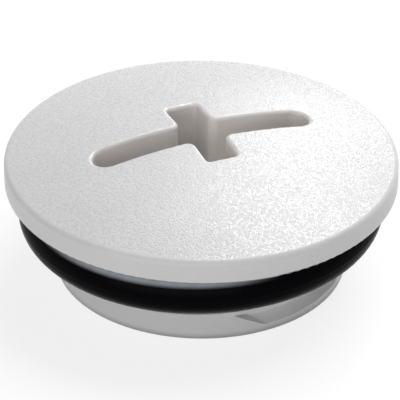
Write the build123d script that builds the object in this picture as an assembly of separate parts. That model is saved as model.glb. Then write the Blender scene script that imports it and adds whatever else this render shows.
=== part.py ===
from build123d import *

import os
from math import cos, radians, sin, sqrt, tan

# Screw-in hole plug with a seal ring, for closing a spare M20 x 1.5 entry in an enclosure.
# Two pieces: a plug moulded in one, and a rubber ring that sits in the seat under its head.
# Millimetres. Z runs up the plug's axis, with Z = 0 at the tail rim that it stands on.
# The long driving slot runs along X.

# Head: a shallow spherical dome on a short upright edge
HEAD_DIAMETER = 26.7
HEAD_EDGE_HEIGHT = 1.65
DOME_RISE = 2.2
HEAD_WALL = 2.0
RIM_FILLET = 0.4
HEAD_UNDER_FILLET = 0.22

# Threaded shank, M20 x 1.5 with blunt moulded crests that tighten a little towards the head
THREAD_DIAMETER = 19.9
THREAD_PITCH = 1.5
THREAD_DEPTH = 0.85
THREAD_ROOT_FLAT = 0.3
THREAD_FLANK_ANGLE = 30.0
THREAD_OVERSHOOT = 0.12
THREAD_LENGTH = 2.95
NECK_RELIEF = 0.05

# Tail: a plain collar, a little smaller in radius than the thread, that leads the plug into its
# hole, and above it the slanted wall that closes the lower end of the groove
COLLAR_EASE = 0.05
COLLAR_HEIGHT = 0.6
TAIL_FILLET = 0.3
THREAD_END_AZIMUTH = -93.5
THREAD_END_SLANT = 27.0

# Hollow shank, open at the tail
SHANK_WALL = 1.6

# Crossed driving slots, one long with round ends and one short with square ends
SLOT_LENGTH = 15.6
SLOT_WIDTH = 2.1
SLOT_DEPTH = 4.8
CROSS_LENGTH = 7.3
CROSS_WIDTH = 2.2
CROSS_END_RADIUS = 0.3
CROSS_INNER_RADIUS = 0.6
SLOT_MOUTH_FILLET = 0.25
SLOT_OVERSHOOT = 0.5
WELL_WALL = 1.2
WELL_FILLET = 0.3

# Rubber ring, loose in its seat and a little askew
RING_SECTION = 3.25
RING_CLEARANCE = 0.15
RING_DROP = 0.32
RING_TILT = 1.4
RING_TILT_AZIMUTH = -23.0
SEAT_PLAY = 0.4

# How closely an edge's measured place must agree with its drawn place
MATCH = 0.001

# Radii and heights that follow
head_radius = HEAD_DIAMETER / 2
crest_radius = THREAD_DIAMETER / 2
collar_radius = crest_radius - COLLAR_EASE
root_radius = crest_radius - THREAD_DEPTH
neck_radius = root_radius - NECK_RELIEF
bore_radius = neck_radius - SHANK_WALL
seat_top = THREAD_LENGTH + RING_SECTION + SEAT_PLAY
rim_height = seat_top + HEAD_EDGE_HEIGHT
dome_top = rim_height + DOME_RISE
dome_radius = (head_radius**2 + DOME_RISE**2) / (2 * DOME_RISE)
dome_centre = dome_top - dome_radius
slot_floor = dome_top - SLOT_DEPTH
well_floor = slot_floor - WELL_WALL


def dome_height(radius, inset=0.0):
    """Height of the dome, or of its parallel inner face, at a distance from the axis."""
    return dome_centre + sqrt((dome_radius - inset) ** 2 - radius**2)


def turned(outline):
    """A closed outline in the XZ plane, turned once round the axis."""
    return revolve(make_face(outline), Axis.Z)


def outer_form():
    """The whole outside as one turned solid: dome, head edge, ring seat and shank."""
    dome = ThreePointArc(
        (0, 0, dome_top),
        (head_radius / 2, 0, dome_height(head_radius / 2)),
        (head_radius, 0, rim_height),
    )
    rest = Polyline(
        (head_radius, 0, rim_height),
        (head_radius, 0, seat_top),
        (neck_radius, 0, seat_top),
        (neck_radius, 0, THREAD_LENGTH),
        (crest_radius, 0, THREAD_LENGTH),
        (collar_radius, 0, COLLAR_HEIGHT),
        (collar_radius, 0, 0),
        (0, 0, 0),
        (0, 0, dome_top),
    )
    solid = turned(dome + rest)
    round_edges = solid.edges().filter_by(GeomType.CIRCLE)
    solid = fillet(edges_at(round_edges, head_radius, rim_height), RIM_FILLET)
    round_edges = solid.edges().filter_by(GeomType.CIRCLE)
    solid = fillet(edges_at(round_edges, head_radius, seat_top), HEAD_UNDER_FILLET)
    round_edges = solid.edges().filter_by(GeomType.CIRCLE)
    return fillet(edges_at(round_edges, collar_radius, 0), TAIL_FILLET)


def edges_at(edges, radius, height):
    """Those circular edges that have this radius and lie at this height."""
    return [
        edge
        for edge in edges
        if abs(edge.radius - radius) < MATCH and abs(edge.arc_center.Z - height) < MATCH
    ]


def slot_outline(grow=0.0):
    """Plan of the crossed slots, or of the wall round them when it is grown."""
    long_slot = SlotOverall(SLOT_LENGTH + 2 * grow, SLOT_WIDTH + 2 * grow)
    short_slot = RectangleRounded(
        CROSS_WIDTH + 2 * grow, CROSS_LENGTH + 2 * grow, CROSS_END_RADIUS + grow / 2
    )
    plan = long_slot + short_slot
    inner = [
        v
        for v in plan.vertices()
        if abs(abs(v.X) - CROSS_WIDTH / 2 - grow) < MATCH
        and abs(abs(v.Y) - SLOT_WIDTH / 2 - grow) < MATCH
    ]
    return fillet(inner, CROSS_INNER_RADIUS)


def driving_slots():
    """The crossed slots as a cutter that stands above the dome."""
    return Pos(0, 0, slot_floor) * extrude(slot_outline(), SLOT_DEPTH + SLOT_OVERSHOOT)


def well_block():
    """The material round and under the slots, which crosses the hollow shank."""
    block = extrude(slot_outline(WELL_WALL), dome_top - well_floor)
    lower_edges = block.faces().sort_by(Axis.Z)[0].edges()
    return Pos(0, 0, well_floor) * fillet(lower_edges, WELL_FILLET)


def hollow():
    """The space inside the shank, up to a ceiling parallel to the dome."""
    ceiling_edge = dome_height(bore_radius, HEAD_WALL)
    ceiling = ThreePointArc(
        (bore_radius, 0, ceiling_edge),
        (bore_radius / 2, 0, dome_height(bore_radius / 2, HEAD_WALL)),
        (0, 0, dome_top - HEAD_WALL),
    )
    rest = Polyline(
        (0, 0, dome_top - HEAD_WALL), (0, 0, 0), (bore_radius, 0, 0), (bore_radius, 0, ceiling_edge)
    )
    return turned(ceiling + rest) - well_block()


def thread_groove():
    """Right-hand V groove that runs up from its slanted end and out into the ring seat.

    Its first section is drawn on the slanted end wall itself, so it is stretched along the slant.
    """
    slant = radians(THREAD_END_SLANT)
    flank = tan(radians(THREAD_FLANK_ANGLE))
    depth = THREAD_DEPTH + THREAD_OVERSHOOT
    root_half = THREAD_ROOT_FLAT / 2
    mouth_half = root_half + flank * THREAD_DEPTH
    outer_half = root_half + flank * depth
    end_height = COLLAR_HEIGHT + mouth_half
    path = Helix(THREAD_PITCH, THREAD_LENGTH + mouth_half - end_height, root_radius)
    end_wall = Plane(path @ 0, x_dir=(1, 0, 0), z_dir=(0, sin(slant), cos(slant)))
    section = end_wall * make_face(
        Polyline(
            (0, -root_half / sin(slant)),
            (depth, -outer_half / sin(slant)),
            (depth, outer_half / sin(slant)),
            (0, root_half / sin(slant)),
            close=True,
        )
    )
    return Pos(0, 0, end_height) * Rot(0, 0, THREAD_END_AZIMUTH) * sweep(section, path, is_frenet=True)


def plug():
    """The whole moulding: head, seat, threaded shank, hollow and slots with an eased mouth."""
    body = outer_form() - hollow() - thread_groove() - driving_slots()
    lowest = dome_height(SLOT_LENGTH / 2) - MATCH
    mouth = [edge for edge in body.edges() if edge.bounding_box().min.Z > lowest]
    return fillet(mouth, SLOT_MOUTH_FILLET)


def seal_ring():
    """Round-section rubber ring, hung below the head and tipped a little to one side."""
    centre_radius = neck_radius + RING_CLEARANCE + RING_SECTION / 2
    height = seat_top - RING_DROP - RING_SECTION / 2
    ring = Rot(0, -RING_TILT, 0) * Torus(centre_radius, RING_SECTION / 2)
    return Pos(0, 0, height) * Rot(0, 0, RING_TILT_AZIMUTH) * ring


os.makedirs("parts", exist_ok=True)
export_step(plug(), "parts/threaded_plug.step")
export_step(seal_ring(), "parts/seal_ring.step")
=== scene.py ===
from math import cos, radians, sin

import bpy
from mathutils import Matrix, Vector


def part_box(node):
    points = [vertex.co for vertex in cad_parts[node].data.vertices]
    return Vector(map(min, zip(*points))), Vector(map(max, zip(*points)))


# Looks of a screw-in hole plug: light grey moulded plastic, with a black rubber ring under its head

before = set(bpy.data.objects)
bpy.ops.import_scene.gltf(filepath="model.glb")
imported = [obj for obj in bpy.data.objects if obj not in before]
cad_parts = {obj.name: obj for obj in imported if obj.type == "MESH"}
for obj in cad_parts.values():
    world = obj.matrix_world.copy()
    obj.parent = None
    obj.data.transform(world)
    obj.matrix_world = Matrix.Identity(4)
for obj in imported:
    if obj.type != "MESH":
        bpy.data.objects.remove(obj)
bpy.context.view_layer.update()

# The scene is in metres. Places on the plug and the ring, and what their materials measure, are in
# millimetres.
MM = 0.001

# Plug: height of the dome's edge, the dome's slope there, and the radii of the head and the tail
RIM_HEIGHT = 8.25
DOME_EDGE_SLOPE = radians(18.5)
HEAD_EDGE = 13.35
TAIL_EDGE = 9.9

# Slots: how far they reach from the axis, and the height of their floor
SLOT_REACH = 8.0
SLOT_FLOOR = 5.65

# Ring: its box in metres, how it is tipped, and the radius that its painted sheen is measured by
ring_low, ring_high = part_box("seal_ring")
RING_TILT = radians(1.4)
RING_TILT_AZIMUTH = radians(-23.0)
RING_RADIUS = 12.0

# Plastic: its colour, a little mottled, and the range of noise and of tone of the dome's flecks
PLASTIC_DEEP = (0.69, 0.688, 0.69, 1)
PLASTIC_PALE = (0.735, 0.734, 0.735, 1)
FLECK_RANGE = (0.36, 0.66)
FLECK_TONES = (0.94, 1.05)

# Plastic: painted warm light inside the slots, and painted light that grows between two places
# along X
SLOT_PAINTED_WARM_LIGHT = (1.0, 0.965, 0.93, 1)
SLOT_ENDS = (-5.0, 5.0)
SLOT_PAINTED_LIGHT_TONES = (0.97, 1.15)

# Plastic: painted light that makes the shank paler, and the heights between which it turns into the
# head's
SHANK_PAINTED_LIGHT = 1.06
SHANK_TURN = (3.0, 6.0)

# Plastic: share of the tone lost to painted shade on the tail edge, up to these heights, and to a
# thin line of painted shade under the head's edge, where the surface faces down by this much
TAIL_PAINTED_SHADE = 0.67
TAIL_PAINTED_SHADE_HEIGHTS = (-0.1, 0.65)
HEAD_EDGE_PAINTED_SHADE = 0.75
HEAD_EDGE_SHADE_FACING = (-0.4, -0.15)

# Plastic: roughness away from the dome, how it wavers, and the dome's range of specks
SMOOTH_ROUGHNESS = 0.4
WAVER_RANGE = (0.3, 0.7)
ROUGHNESS_WAVER = (-0.03, 0.03)
SPECK_RANGE = (0.4, 0.58)
SPECK_ROUGHNESS = (0.12, 0.5)

# Plastic: features of each noise in a millimetre
MOTTLE_NOISE = 0.22
FLECK_NOISE = 5.5
WAVER_NOISE = 3.0
SPECK_NOISE = 5.0
GRAIN_NOISE = 5.0
FINE_GRAIN_NOISE = 14.0
WAVE_NOISE = 0.5

# Plastic: share of the fine grain, and depths of the grain and of the waves
FINE_GRAIN_SHARE = 0.5
GRAIN_DEPTH = 0.028 * MM
WAVE_DEPTH = 0.006 * MM

# Plastic: the light that scatters inside it, its refractive index and its specular level
SCATTER_SHARE = 0.2
SCATTER_COLOUR = (1.0, 0.95, 0.85)
SCATTER_REACH = 0.8 * MM
PLASTIC_IOR = 1.5
PLASTIC_GLOSS = 0.8

# Rubber: its black, and the painted reflection of the floor that thickens down its lower side. A
# rise is a height above the middle plane of the tipped ring.
RUBBER_BLACK = (0.0015, 0.0015, 0.0025, 1)
PAINTED_FLOOR_REFLECTION = (0.05, 0.043, 0.037, 1)
FLOOR_REFLECTION_RISE = (-0.7, -1.5)

# Rubber: the painted sheen, pale and bluish, along one side of the upper edge, and how patchy it is
PAINTED_SHEEN_COLOUR = (0.42, 0.45, 0.5, 1)
SHEEN_AZIMUTH = radians(-42.0)
SHEEN_TOWARD = (0.7, 0.98)
SHEEN_RISE = (0.82, 1.12)
PATCH_RANGE = (0.2, 0.6)
PATCH_TONES = (0.8, 1.0)

# Rubber: features of each noise in a millimetre
PATCH_NOISE = 1.2
CLOUD_NOISE = 2.0
SKIN_NOISE = 9.0

# Rubber: depth of the skin, depth and edge of the mould line, roughness and specular level
SKIN_DEPTH = 0.003 * MM
MOULD_LINE_DEPTH = 0.006 * MM
MOULD_LINE_EDGE = (0.03, 0.07)
CLOUD_RANGE = (0.3, 0.7)
RUBBER_ROUGHNESS = (0.22, 0.32)
RUBBER_GLOSS = 0.018

# Camera: where it looks from, as a long lens close to a straight projection
CAMERA_AZIMUTH = radians(-23.11)
CAMERA_ELEVATION = radians(31.66)
CAMERA_ROLL = radians(0.46)
CAMERA_DISTANCE = 272.3 * MM
CAMERA_LENS = 360
CAMERA_SENSOR = 36
LOOK_HEIGHT = 4.88 * MM
LOOK_ASIDE = -0.07 * MM

# Surround: how strongly it lights the object. It is full white where it is seen.
SURROUND_LEVEL = 0.1

# Floor: its size in metres, its colour as it lights the object and as it is seen, and the glow
# that lifts it to white where it is seen
FLOOR_SIZE = 3.0
FLOOR_COLOUR = (0.86, 0.86, 0.86, 1)
FLOOR_SEEN_COLOUR = (0.24, 0.24, 0.24, 1)
FLOOR_LIFT = 0.81

# Lamps: colours of the keys behind the plug, and of the slightly cool daylight in front
KEY_LIGHT = (1.0, 0.997, 1.0)
COOL_LIGHT = (0.985, 0.985, 1.0)


def node_in(tree, kind, **settings):
    """A new shader node with these settings."""
    node = tree.nodes.new(kind)
    for name, value in settings.items():
        setattr(node, name, value)
    return node


def feed(tree, target, value):
    """Gives an input socket a constant, or links it to an output socket."""
    if isinstance(value, bpy.types.NodeSocket):
        tree.links.new(value, target)
    else:
        target.default_value = value


def calc(tree, operation, first, second=0.0, clamp=False):
    """A Math node's result."""
    node = node_in(tree, "ShaderNodeMath", operation=operation, use_clamp=clamp)
    feed(tree, node.inputs[0], first)
    feed(tree, node.inputs[1], second)
    return node.outputs[0]


def product(tree, first, *others):
    """All these values multiplied."""
    result = first
    for other in others:
        result = calc(tree, "MULTIPLY", result, other)
    return result


def ramp(tree, value, low, high, bottom=0.0, top=1.0):
    """value, run smoothly from bottom at low to top at high."""
    node = node_in(tree, "ShaderNodeMapRange", interpolation_type="SMOOTHSTEP")
    feed(tree, node.inputs["Value"], value)
    feed(tree, node.inputs["From Min"], low)
    feed(tree, node.inputs["From Max"], high)
    feed(tree, node.inputs["To Min"], bottom)
    feed(tree, node.inputs["To Max"], top)
    return node.outputs["Result"]


def noise(tree, point, scale, detail, roughness=0.5):
    """A noise of this many features in a millimetre, from 0 to 1."""
    node = node_in(tree, "ShaderNodeTexNoise")
    feed(tree, node.inputs["Vector"], point)
    feed(tree, node.inputs["Scale"], scale)
    feed(tree, node.inputs["Detail"], detail)
    feed(tree, node.inputs["Roughness"], roughness)
    return node.outputs[0]


def blend_colour(tree, share, first, second, mode="MIX"):
    """Two colours, mixed or multiplied, with this share of the second."""
    node = node_in(tree, "ShaderNodeMix", data_type="RGBA", blend_type=mode)
    feed(tree, node.inputs[0], share)
    feed(tree, node.inputs[6], first)
    feed(tree, node.inputs[7], second)
    return node.outputs[2]


def tinted(tree, colour, share, tone):
    """A colour multiplied by a grey tone, where share is 1."""
    grey = node_in(tree, "ShaderNodeCombineColor")
    for channel in range(3):
        feed(tree, grey.inputs[channel], tone)
    return blend_colour(tree, share, colour, grey.outputs[0], "MULTIPLY")


def bump(tree, height, depth, below=None):
    """A relief of this depth, on top of another."""
    node = node_in(tree, "ShaderNodeBump")
    feed(tree, node.inputs["Height"], height)
    feed(tree, node.inputs["Distance"], depth)
    feed(tree, node.inputs["Strength"], 1.0)
    if below is not None:
        feed(tree, node.inputs["Normal"], below)
    return node.outputs[0]


def new_material(name):
    """A Principled material, its tree and its shader node."""
    material = bpy.data.materials.new(name)
    material.use_nodes = True
    tree = material.node_tree
    return material, tree, tree.nodes["Principled BSDF"]


def places(tree):
    """The point on the object in millimetres, and its three coordinates."""
    coordinates = node_in(tree, "ShaderNodeTexCoord")
    scaled = node_in(tree, "ShaderNodeVectorMath", operation="SCALE")
    feed(tree, scaled.inputs[0], coordinates.outputs["Object"])
    feed(tree, scaled.inputs["Scale"], 1 / MM)
    parts = node_in(tree, "ShaderNodeSeparateXYZ")
    feed(tree, parts.inputs[0], scaled.outputs[0])
    return scaled.outputs[0], parts.outputs


def upwardness(tree):
    """How far the surface faces up: 1 on a level top, 0 on an upright side, -1 underneath."""
    geometry = node_in(tree, "ShaderNodeNewGeometry")
    parts = node_in(tree, "ShaderNodeSeparateXYZ")
    feed(tree, parts.inputs[0], geometry.outputs["Normal"])
    return parts.outputs[2]


def from_axis(tree, x, y):
    """Distance from the plug's axis."""
    squares = calc(tree, "ADD", product(tree, x, x), product(tree, y, y))
    return calc(tree, "SQRT", squares)


def dome_share(tree, height, upward):
    """1 on the dome, fading out at its rim and at the mouth of the slots."""
    rim_upward = cos(DOME_EDGE_SLOPE)
    level = ramp(tree, upward, rim_upward - 0.06, rim_upward - 0.005)
    above = ramp(tree, height, RIM_HEIGHT - 0.2, RIM_HEIGHT)
    return product(tree, level, above)


def slot_share(tree, x, y, height, dome):
    """1 on the walls of the crossed slots, fading out towards their mouth."""
    near = ramp(tree, from_axis(tree, x, y), SLOT_REACH, SLOT_REACH + 0.3, 1.0, 0.0)
    raised = ramp(tree, height, SLOT_FLOOR - 0.3, SLOT_FLOOR - 0.1)
    return product(tree, near, raised, calc(tree, "SUBTRACT", 1.0, dome))


def painted_light_and_shade_tone(tree, x, y, height, upward):
    """Painted light on the shank, painted shade on its tail edge and in a line under the head's
    edge.
    """
    radius = from_axis(tree, x, y)
    # Painted light: the shank is paler than the head
    painted_shank_light = ramp(tree, height, *SHANK_TURN, SHANK_PAINTED_LIGHT, 1.0)
    # Painted shade on the tail edge
    outside = ramp(tree, radius, TAIL_EDGE - 0.35, TAIL_EDGE - 0.25)
    low = ramp(tree, height, *TAIL_PAINTED_SHADE_HEIGHTS, 1.0, 0.0)
    painted_tail_shade = product(tree, outside, low, TAIL_PAINTED_SHADE)
    # Painted shade in a thin line under the head's edge, where it faces down
    outermost = ramp(tree, radius, HEAD_EDGE - 0.3, HEAD_EDGE - 0.2)
    turned_under = ramp(tree, upward, *HEAD_EDGE_SHADE_FACING, 1.0, 0.0)
    painted_edge_shade = product(tree, outermost, turned_under, HEAD_EDGE_PAINTED_SHADE)
    kept = calc(tree, "SUBTRACT", calc(tree, "SUBTRACT", 1.0, painted_tail_shade), painted_edge_shade)
    return product(tree, painted_shank_light, kept)


def plug_plastic():
    """Light grey moulded polyamide: spark-eroded grain on the dome, smooth elsewhere."""
    material, tree, shader = new_material("plug_plastic")
    point, (x, y, height) = places(tree)
    upward = upwardness(tree)
    dome = dome_share(tree, height, upward)

    mottle = noise(tree, point, MOTTLE_NOISE, detail=3.0)
    colour = blend_colour(tree, mottle, PLASTIC_DEEP, PLASTIC_PALE)
    fleck = noise(tree, point, FLECK_NOISE, detail=2.0, roughness=0.6)
    colour = tinted(tree, colour, dome, ramp(tree, fleck, *FLECK_RANGE, *FLECK_TONES))
    # Painted light on the slot walls: warmer, and lighter towards +X
    in_slot = slot_share(tree, x, y, height, dome)
    colour = blend_colour(tree, in_slot, colour, SLOT_PAINTED_WARM_LIGHT, "MULTIPLY")
    colour = tinted(tree, colour, in_slot, ramp(tree, x, *SLOT_ENDS, *SLOT_PAINTED_LIGHT_TONES))
    # Painted light on the shank, painted shade on the tail edge and under the head's edge
    colour = tinted(tree, colour, 1.0, painted_light_and_shade_tone(tree, x, y, height, upward))
    feed(tree, shader.inputs["Base Color"], colour)

    wavering = noise(tree, point, WAVER_NOISE, detail=3.0, roughness=0.6)
    waver = ramp(tree, wavering, *WAVER_RANGE, *ROUGHNESS_WAVER)
    specks = noise(tree, point, SPECK_NOISE, detail=2.0, roughness=0.6)
    speckled = ramp(tree, specks, *SPECK_RANGE, *SPECK_ROUGHNESS)
    on_dome = product(tree, calc(tree, "SUBTRACT", speckled, SMOOTH_ROUGHNESS), dome)
    roughness = calc(tree, "ADD", calc(tree, "ADD", waver, on_dome), SMOOTH_ROUGHNESS)
    feed(tree, shader.inputs["Roughness"], roughness)

    coarse_grain = noise(tree, point, GRAIN_NOISE, detail=3.0, roughness=0.65)
    fine_grain = product(tree, noise(tree, point, FINE_GRAIN_NOISE, detail=1.0), FINE_GRAIN_SHARE)
    grain = calc(tree, "ADD", coarse_grain, fine_grain)
    eroded = bump(tree, product(tree, grain, dome), GRAIN_DEPTH)
    waves = bump(tree, noise(tree, point, WAVE_NOISE, detail=1.0), WAVE_DEPTH, eroded)
    feed(tree, shader.inputs["Normal"], waves)

    shader.inputs["Subsurface Weight"].default_value = SCATTER_SHARE
    shader.inputs["Subsurface Radius"].default_value = SCATTER_COLOUR
    shader.inputs["Subsurface Scale"].default_value = SCATTER_REACH
    shader.inputs["IOR"].default_value = PLASTIC_IOR
    shader.inputs["Specular IOR Level"].default_value = PLASTIC_GLOSS
    return material


def ring_rise(tree, x, y, height):
    """Height above the middle plane of the tipped ring."""
    tip_x = product(tree, x, sin(RING_TILT) * cos(RING_TILT_AZIMUTH))
    tip_y = product(tree, y, sin(RING_TILT) * sin(RING_TILT_AZIMUTH))
    middle = (ring_low.z + ring_high.z) / 2 / MM
    plane = calc(tree, "ADD", calc(tree, "ADD", tip_x, tip_y), middle)
    return calc(tree, "SUBTRACT", height, plane)


def painted_sheen_share(tree, x, y, rise, patchy):
    """1 on the stretch of the ring's upper edge given a painted sheen, a little less where it is
    patchy.
    """
    toward_x = product(tree, x, sin(SHEEN_AZIMUTH) / RING_RADIUS)
    toward_y = product(tree, y, -cos(SHEEN_AZIMUTH) / RING_RADIUS)
    toward = ramp(tree, calc(tree, "ADD", toward_x, toward_y), *SHEEN_TOWARD)
    upper = ramp(tree, rise, *SHEEN_RISE)
    cloudy = ramp(tree, patchy, *PATCH_RANGE, *PATCH_TONES)
    return product(tree, toward, upper, cloudy)


def ring_rubber():
    """Black rubber with a faint mould line, a painted floor reflection on its lower side and a
    painted sheen at the top.
    """
    material, tree, shader = new_material("ring_rubber")
    point, (x, y, height) = places(tree)
    rise = ring_rise(tree, x, y, height)

    patchy = noise(tree, point, PATCH_NOISE, detail=4.0, roughness=0.6)
    # Painted reflection of the floor, pale and brownish, on the ring's lower side
    painted_reflection = calc(tree, "MULTIPLY", ramp(tree, rise, *FLOOR_REFLECTION_RISE), patchy, clamp=True)
    colour = blend_colour(tree, painted_reflection, RUBBER_BLACK, PAINTED_FLOOR_REFLECTION)
    # Painted sheen along one side of the ring's upper edge
    colour = blend_colour(tree, painted_sheen_share(tree, x, y, rise, patchy), colour, PAINTED_SHEEN_COLOUR)
    feed(tree, shader.inputs["Base Color"], colour)

    cloud = noise(tree, point, CLOUD_NOISE, detail=3.0, roughness=0.6)
    feed(tree, shader.inputs["Roughness"], ramp(tree, cloud, *CLOUD_RANGE, *RUBBER_ROUGHNESS))

    line = ramp(tree, calc(tree, "ABSOLUTE", rise), *MOULD_LINE_EDGE, 1.0, 0.0)
    mould_line = bump(tree, line, MOULD_LINE_DEPTH)
    skin = bump(tree, noise(tree, point, SKIN_NOISE, detail=2.0), SKIN_DEPTH, mould_line)
    feed(tree, shader.inputs["Normal"], skin)

    shader.inputs["Specular IOR Level"].default_value = RUBBER_GLOSS
    return material


def dress(node, material):
    """Gives a CAD node its material."""
    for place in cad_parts[node].material_slots:
        place.material = material


def plainly_seen(tree):
    """1 for the camera's rays, for reflections and through clear things, 0 for other light."""
    path = node_in(tree, "ShaderNodeLightPath")
    seen = calc(tree, "MAXIMUM", path.outputs["Is Camera Ray"], path.outputs["Is Glossy Ray"])
    return calc(tree, "MAXIMUM", seen, path.outputs["Is Transmission Ray"])


def floor():
    """A wide pale floor, white to the camera where nothing shades it, and open from below."""
    bpy.ops.mesh.primitive_plane_add(size=FLOOR_SIZE, location=(0, 0, 0))
    sheet = bpy.context.object
    sheet.name = "floor"
    material = bpy.data.materials.new("floor")
    material.use_nodes = True
    tree = material.node_tree
    tree.nodes.clear()
    seen = plainly_seen(tree)
    diffuse = node_in(tree, "ShaderNodeBsdfDiffuse")
    feed(tree, diffuse.inputs["Color"], blend_colour(tree, seen, FLOOR_COLOUR, FLOOR_SEEN_COLOUR))
    lift = node_in(tree, "ShaderNodeEmission")
    feed(tree, lift.inputs["Strength"], product(tree, seen, FLOOR_LIFT))
    total = node_in(tree, "ShaderNodeAddShader")
    feed(tree, total.inputs[0], diffuse.outputs[0])
    feed(tree, total.inputs[1], lift.outputs[0])
    clear = node_in(tree, "ShaderNodeBsdfTransparent")
    side = node_in(tree, "ShaderNodeNewGeometry")
    choice = node_in(tree, "ShaderNodeMixShader")
    feed(tree, choice.inputs[0], side.outputs["Backfacing"])
    feed(tree, choice.inputs[1], total.outputs[0])
    feed(tree, choice.inputs[2], clear.outputs[0])
    output = node_in(tree, "ShaderNodeOutputMaterial")
    feed(tree, output.inputs["Surface"], choice.outputs[0])
    sheet.data.materials.append(material)


def surround():
    """A dim surround that is white where the camera or a reflection sees it."""
    world = bpy.data.worlds.new("surround")
    bpy.context.scene.world = world
    world.use_nodes = True
    tree = world.node_tree
    background = tree.nodes["Background"]
    background.inputs["Color"].default_value = (1, 1, 1, 1)
    extra = product(tree, plainly_seen(tree), 1 - SURROUND_LEVEL)
    feed(tree, background.inputs["Strength"], calc(tree, "ADD", extra, SURROUND_LEVEL))


def direction(azimuth, elevation):
    """Unit vector from the object towards this azimuth, where 0 is -Y, and elevation."""
    return Vector((sin(azimuth) * cos(elevation), -cos(azimuth) * cos(elevation), sin(elevation)))


def softbox(name, colour, azimuth, elevation, distance, width, height, power):
    """A soft rectangular lamp that faces the plug, turned by this azimuth from the camera.

    Angles are in degrees, lengths in metres and the power in watts.
    """
    lamp = bpy.data.lights.new(name, "AREA")
    lamp.shape = "RECTANGLE"
    lamp.size = width
    lamp.size_y = height
    lamp.energy = power
    lamp.color = colour
    holder = bpy.data.objects.new(name, lamp)
    bpy.context.scene.collection.objects.link(holder)
    away = direction(CAMERA_AZIMUTH + radians(azimuth), radians(elevation))
    holder.location = away * distance
    holder.rotation_euler = away.to_track_quat("Z", "Y").to_euler()


def lamps():
    """A small and a broad key from behind, a faint lamp at the top left, and one in front."""
    softbox(
        "key", KEY_LIGHT,
        azimuth=166, elevation=27, distance=0.45, width=0.12, height=0.24, power=0.48,
    )
    softbox(
        "high_key", KEY_LIGHT,
        azimuth=144, elevation=58, distance=0.45, width=0.34, height=0.24, power=1.48,
    )
    softbox(
        "top_left", COOL_LIGHT,
        azimuth=-40, elevation=55, distance=0.45, width=0.34, height=0.24, power=0.1,
    )
    softbox(
        "front", COOL_LIGHT,
        azimuth=-18, elevation=17, distance=0.6, width=0.9, height=0.28, power=1.58,
    )


def camera():
    """The camera, rolled a little and aimed beside the plug's axis."""
    lens = bpy.data.cameras.new("camera")
    lens.lens = CAMERA_LENS
    lens.sensor_width = CAMERA_SENSOR
    holder = bpy.data.objects.new("camera", lens)
    bpy.context.scene.collection.objects.link(holder)
    back = direction(CAMERA_AZIMUTH, CAMERA_ELEVATION)
    right = Vector((cos(CAMERA_AZIMUTH), sin(CAMERA_AZIMUTH), 0))
    up = back.cross(right)
    aim = Vector((0, 0, LOOK_HEIGHT)) + right * LOOK_ASIDE
    rolled_right = right * cos(CAMERA_ROLL) + up * sin(CAMERA_ROLL)
    rolled_up = up * cos(CAMERA_ROLL) - right * sin(CAMERA_ROLL)
    axes = Matrix((rolled_right, rolled_up, back)).transposed()
    holder.matrix_world = Matrix.Translation(aim + back * CAMERA_DISTANCE) @ axes.to_4x4()
    bpy.context.scene.camera = holder


dress("threaded_plug", plug_plastic())
dress("seal_ring", ring_rubber())
floor()
surround()
lamps()
camera()
bpy.context.scene.view_settings.view_transform = "Standard"
